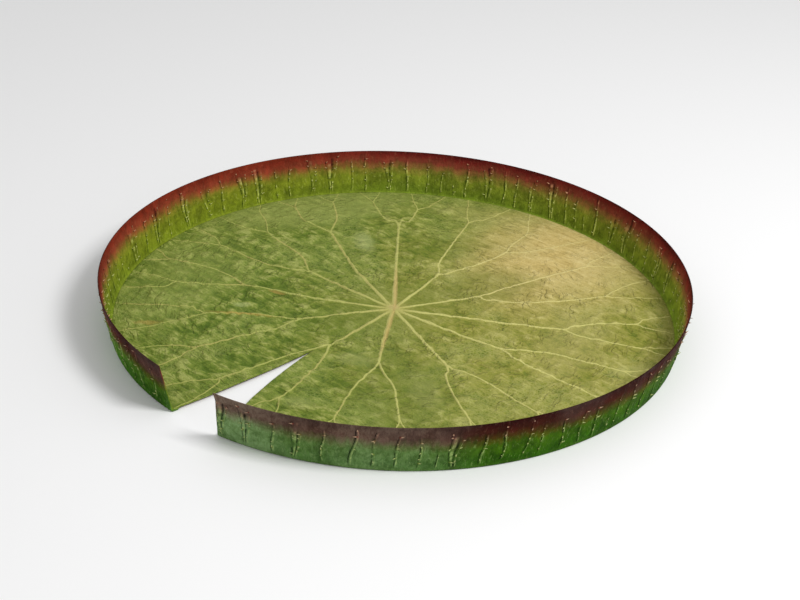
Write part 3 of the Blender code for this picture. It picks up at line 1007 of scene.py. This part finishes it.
def make_rim_material():
    """Rim wall: ragged crimson band, knotted ribs with painted shade and highlight, a painted grey sheen
    outside.
    """
    material, tree, shader = new_material("rim_wall", 0.65, 0.04)
    where = place_on_piece(tree)
    rib = read_attribute(tree, "rib")
    outer = read_attribute(tree, "outer")
    colour, ragged, mottle = rim_colour(tree, where, rib)
    net = use_group(tree, leaf_net, Place=where, Cells=62.0, Wander=0.010)
    redness = fit(tree, ragged, 0.50, 0.78)
    dashes = cloud_noise(tree, stretched(tree, where, 0.0, (1.0, 1.0, 0.50)), 150.0, 4.0, 0.66, 0.8)
    crest = mix(tree, redness, (80, 83, 44), (82, 58, 44))
    outer_crest = mix(tree, redness, (62, 73, 46), (66, 50, 42))
    crest = mix(tree, times(tree, outer, 0.80), crest, outer_crest)
    shade = mix(tree, redness, (20, 28, 5), (20, 5, 5))
    shade = mix(tree, outer, shade, mix(tree, redness, (8, 15, 4), (8, 3, 3)))
    green_share = times_add(tree, redness, -0.55, 1.0)
    light_dash = times(tree, fit(tree, dashes, 0.56, 0.68, 0.0, 0.24), green_share)
    dark_dash = times(tree, fit(tree, dashes, 0.44, 0.33, 0.0, 0.40), green_share)
    colour = mix(tree, light_dash, colour, crest)
    colour = mix(tree, dark_dash, colour, shade)
    torn = fit(tree, mottle["Blotches"], 0.36, 0.62, 0.45, 1.0)
    torn = times(tree, torn, fit(tree, dashes, 0.40, 0.56, 0.70, 1.10))
    # Painted reflection: grey-blue patches over the front of the outer face, broken up by the blotches.
    painted_sheen_colour = mix(tree, redness, (52, 64, 42), (49, 42, 36))
    for centre, reach, turn, amount in painted_sheen_patches:
        painted_sheen = patch(tree, where, centre, reach, turn, mottle["Patches"], 0.6)
        painted_sheen = times(tree, times(tree, painted_sheen, outer), times(tree, torn, amount))
        colour = mix(tree, painted_sheen, colour, painted_sheen_colour)
    # Painted shade darkens each rib's side away from the light, and a painted highlight lightens the side
    # towards it.
    broken = fit(tree, mottle["Specks"], 0.62, 0.42, 0.60, 1.0)
    painted_shade_flank = times(tree, fit(tree, read_attribute(tree, "painted_shade_flank"), 0.06, 0.62, 0.0, 0.92), broken)
    colour = mix(tree, painted_shade_flank, colour, shade)
    knotted = fit(tree, mottle["Specks"], 0.42, 0.60, 0.50, 1.0)
    painted_highlight_top = times_add(tree, outer, -0.08, 0.86)
    painted_highlight_flank = fit(tree, read_attribute(tree, "painted_highlight_flank"), 0.22, 0.95, 0.0, painted_highlight_top)
    colour = mix(tree, times(tree, painted_highlight_flank, knotted), colour, crest)
    tree.links.new(colour, shader.inputs["Base Color"])
    relief = times_add(tree, net["Relief"], 0.35, times(tree, mottle["Blotches"], 2.4))
    relief = times_add(tree, dashes, 2.8, relief)
    tree.links.new(bump(tree, relief, 0.0009), shader.inputs["Normal"])
    return material


# Painted grey reflection on the rim's outer face: centre, half length and width, turn in degrees, strength.
painted_sheen_patches = (
    ((0.09, -0.74), (0.13, 0.10), 7.0, 0.85),
    ((0.30, -0.68), (0.17, 0.10), 24.0, 0.35),
    ((0.47, -0.58), (0.13, 0.10), 39.0, 0.40),
)
rim.data.materials.append(make_rim_material())
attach(rim, "root")


# --- Prickles ---------------------------------------------------------------------------------------------
# Short hooked outgrowths of the rim's skin, up to 10 mm long, that stand on its ribs on both faces. Each is
# drawn out from a round base to a tip that turns up. They are pale at the tip.
prickle_base = 0.0025
prickle_sink = 0.0008
# Each step that draws a prickle out: its length, how much it shrinks the face, and how far it lifts it.
prickle_draws = ((0.0030, 0.60, 0.0002), (0.0026, 0.55, 0.0006), (0.0028, 0.35, 0.0013))
prickle_shares = (0.20, 0.34, 0.48, 0.60, 0.72, 0.84)       # where on a rib they stand


def draw_out(draw, lift, scale):
    """Pull the selected face out by a length and a sideways lift, then scale it."""
    bpy.ops.mesh.extrude_region_move(TRANSFORM_OT_translate={"value": (0, lift, draw)})
    bpy.ops.transform.resize(value=(scale, scale, 1.0))


def join_pieces(pieces):
    """Join some pieces into the first of them."""
    bpy.ops.object.select_all(action="DESELECT")
    for piece in pieces:
        piece.select_set(True)
    bpy.context.view_layer.objects.active = pieces[0]
    bpy.ops.object.join()
    return pieces[0]


bpy.ops.mesh.primitive_circle_add(
    vertices=7, radius=prickle_base, fill_type="NGON", location=(0, 0, -prickle_sink))
prickle = bpy.context.active_object
start_editing()
bpy.ops.mesh.duplicate()
for draw, shrink, lift in prickle_draws:
    draw_out(draw, lift, shrink)
bpy.ops.mesh.select_all(action="SELECT")
bpy.ops.mesh.remove_doubles(threshold=0.00001)
end_editing()
prickle.data.transform(prickle.matrix_world)
prickle.matrix_world = Matrix.Identity(4)
prickle_length = sum(draw[0] for draw in prickle_draws)
write_attribute(prickle.data, "tip", [v.co.z / prickle_length for v in prickle.data.vertices])
prickle.data.shade_smooth()


def prickle_place(rib, share, outer, lean, size):
    """Matrix of a prickle on a rib: it points out of the wall with a lean along it, and its hook turns up."""
    height = share * rim_height
    radius = foot_radius + (lip_radius - foot_radius) * share
    if not outer:
        radius -= rim_foot_thickness + (rim_lip_thickness - rim_foot_thickness) * share
    angle = rim_angle(rib["foot"] + rib_shift(rib, share), radius, height)
    sign = 1.0 if outer else -1.0
    level, rise = wall_outside
    out = Vector((math.cos(angle) * level, math.sin(angle) * level, rise)) * sign
    up = Vector((0, 0, 1))
    across = up.cross(out).normalized()
    out = (out + across * lean + up * rng.uniform(0.0, 0.6)).normalized()
    across = up.cross(out).normalized()
    up = out.cross(across)
    turn = Matrix((across, up, out)).transposed().to_4x4()
    where = Vector((radius * math.cos(angle), radius * math.sin(angle), height))
    return Matrix.Translation(where) @ turn @ Matrix.Diagonal((*size, 1.0))


prickle_copies = []
for rib in rim_ribs:
    for outer in (True, False):
        for share in prickle_shares:
            share_up = share + rng.uniform(-0.06, 0.06)
            if share_up > rib["top"] - 0.02 or rng.random() < 0.12:
                continue
            width = rng.uniform(0.75, 1.25)
            hooked = rng.random() < (0.40 if share < 0.45 else 0.75)
            length = rng.uniform(0.90, 1.45) if hooked else rng.uniform(0.32, 0.48)
            lean = rng.choice((-1, 1)) * (rng.uniform(0.5, 1.7) if hooked else rng.uniform(0.0, 0.5))
            size = (width, width * (1.0 if hooked else 1.5), length)
            copy = bpy.data.objects.new("prickle_copy", prickle.data.copy())
            copy.data.transform(prickle_place(rib, share_up, outer, lean, size))
            write_attribute(copy.data, "outer", [float(outer)] * len(copy.data.vertices))
            bpy.context.scene.collection.objects.link(copy)
            prickle_copies.append(copy)
bpy.data.objects.remove(prickle)
prickles = join_pieces(prickle_copies)
prickles.name = "prickles"


def make_prickle_material():
    """Green to crimson at the base as the rim is, running to a pale tip."""
    material, tree, shader = new_material("prickle", 0.5, 0.2)
    where = place_on_piece(tree)
    redness = fit(tree, part_of(tree, where, "Z"), 0.50 * rim_height, 0.78 * rim_height)
    outer = read_attribute(tree, "outer")
    root = mix(tree, redness, (42, 49, 16), (44, 20, 15))
    pale_inside = mix(tree, redness, (82, 83, 52), (84, 64, 50))
    pale = mix(tree, outer, pale_inside, mix(tree, redness, (68, 72, 46), (70, 57, 46)))
    tip = fit(tree, read_attribute(tree, "tip"), 0.10, 0.45, 0.0, 0.95)
    tree.links.new(mix(tree, tip, root, pale), shader.inputs["Base Color"])
    return material


prickles.data.materials.append(make_prickle_material())
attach(prickles, "root")


# --- Stalk stub -------------------------------------------------------------------------------------------
# What is left of the stalk under the middle of the leaf, cut through flat. Four wide air canals and rings of
# narrow ones run through its spongy flesh, and it spreads out into the blade.
stalk_radius = 0.022
stalk_flare = 0.046
canal_depth = 0.0040
canal_turn = 0.3
# Rings of canals: how many, the ring's radius, the canal's radius, and the part of a step it is turned by.
canal_rings = ((4, 0.0082, 0.0044, 0.0), (4, 0.0125, 0.0018, 0.5), (14, 0.0178, 0.0012, 0.0))

bpy.ops.mesh.primitive_circle_add(
    vertices=64, radius=stalk_radius, fill_type="NGON", location=(0, 0, rest_height))
stalk = bpy.context.active_object
stalk.name = "stalk"
start_editing()
last_spread = stalk_flare / stalk_radius / 1.05 / 1.25
for rise, spread in ((0.0022, 1.05), (0.0014, 1.25), (0.0010, last_spread), (0.0014, 1.0)):
    draw_out(rise, 0, spread)
end_editing()

canals = []
for count, ring, radius, step_on in canal_rings:
    for k in range(count):
        turn = 2 * math.pi * (k + step_on) / count + canal_turn
        bpy.ops.mesh.primitive_cylinder_add(
            vertices=20, radius=radius, depth=2 * canal_depth, end_fill_type="NGON",
            location=(ring * math.cos(turn), ring * math.sin(turn), 0.0))
        canals.append(bpy.context.active_object)
canal_cutter = join_pieces(canals)
bore = stalk.modifiers.new("canals", "BOOLEAN")
bore.object = canal_cutter
bore.operation = "DIFFERENCE"
bore.solver = "EXACT"
bpy.ops.object.select_all(action="DESELECT")
bpy.context.view_layer.objects.active = stalk
stalk.select_set(True)
bpy.ops.object.modifier_apply(modifier=bore.name)
bpy.data.objects.remove(canal_cutter)
stalk.data.transform(stalk.matrix_world)
stalk.matrix_world = Matrix.Identity(4)
stalk.data.shade_smooth()
stalk.data.set_sharp_from_angle(angle=math.radians(40))


def make_stalk_material():
    """Pale spongy flesh on the cut, with a maroon green skin round it."""
    material, tree, shader = new_material("stalk_flesh", 0.65, 0.25)
    where = place_on_piece(tree)
    cells = fit(tree, cell_edge(tree, where, 900.0), 0.0, 0.25)
    flesh = mix(tree, cells, (78, 78, 56), (66, 68, 42))
    skin_share = fit(tree, vector_length(tree, where), stalk_radius * 0.90, stalk_radius)
    tree.links.new(mix(tree, skin_share, flesh, (44, 34, 20)), shader.inputs["Base Color"])
    tree.links.new(bump(tree, cells, 0.0004), shader.inputs["Normal"])
    return material


stalk.data.materials.append(make_stalk_material())
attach(stalk, "root")


# --- Floor, light and camera ------------------------------------------------------------------------------
# A pale floor under the leaf, one soft light from high on the right and an even white sky. The camera looks
# down on the leaf from the front right.
floor_size = 14.0
camera_place = (2.2333, -2.8585, 1.9995)
camera_aim = (-0.0288, 0.0580, 0.0)
camera_roll = math.radians(2.463)

bpy.ops.mesh.primitive_plane_add(size=floor_size, location=(0, 0, 0))
floor = bpy.context.active_object
floor.name = "floor"

floor_material, _, floor_shader = new_material("pale_floor", 0.7, 0.2)
floor_shader.inputs["Base Color"].default_value = (0.93, 0.93, 0.93, 1.0)
floor.data.materials.append(floor_material)


def soft_light(name, place, size, power):
    """A square soft light that faces the middle of the leaf."""
    data = bpy.data.lights.new(name, "AREA")
    data.size = size
    data.energy = power
    light = bpy.data.objects.new(name, data)
    light.location = place
    light.rotation_euler = (-Vector(place)).to_track_quat("-Z", "Y").to_euler()
    bpy.context.scene.collection.objects.link(light)


soft_light("key", (3.76, 0.53, 4.72), 2.0, 225.0)

world = bpy.data.worlds.new("studio")
bpy.context.scene.world = world
world.use_nodes = True
world.node_tree.nodes["Background"].inputs["Color"].default_value = (1, 1, 1, 1)
world.node_tree.nodes["Background"].inputs["Strength"].default_value = 0.56

camera_data = bpy.data.cameras.new("camera")
camera_data.lens = 72.04
camera_data.sensor_width = 36.0
camera = bpy.data.objects.new("camera", camera_data)
camera.location = camera_place
aim = Vector(camera_aim) - camera.location
level = aim.to_track_quat("-Z", "Y").to_matrix()
camera.rotation_euler = (level @ Matrix.Rotation(camera_roll, 3, "Z")).to_euler()
bpy.context.scene.collection.objects.link(camera)
bpy.context.scene.camera = camera
bpy.context.scene.view_settings.view_transform = "Standard"
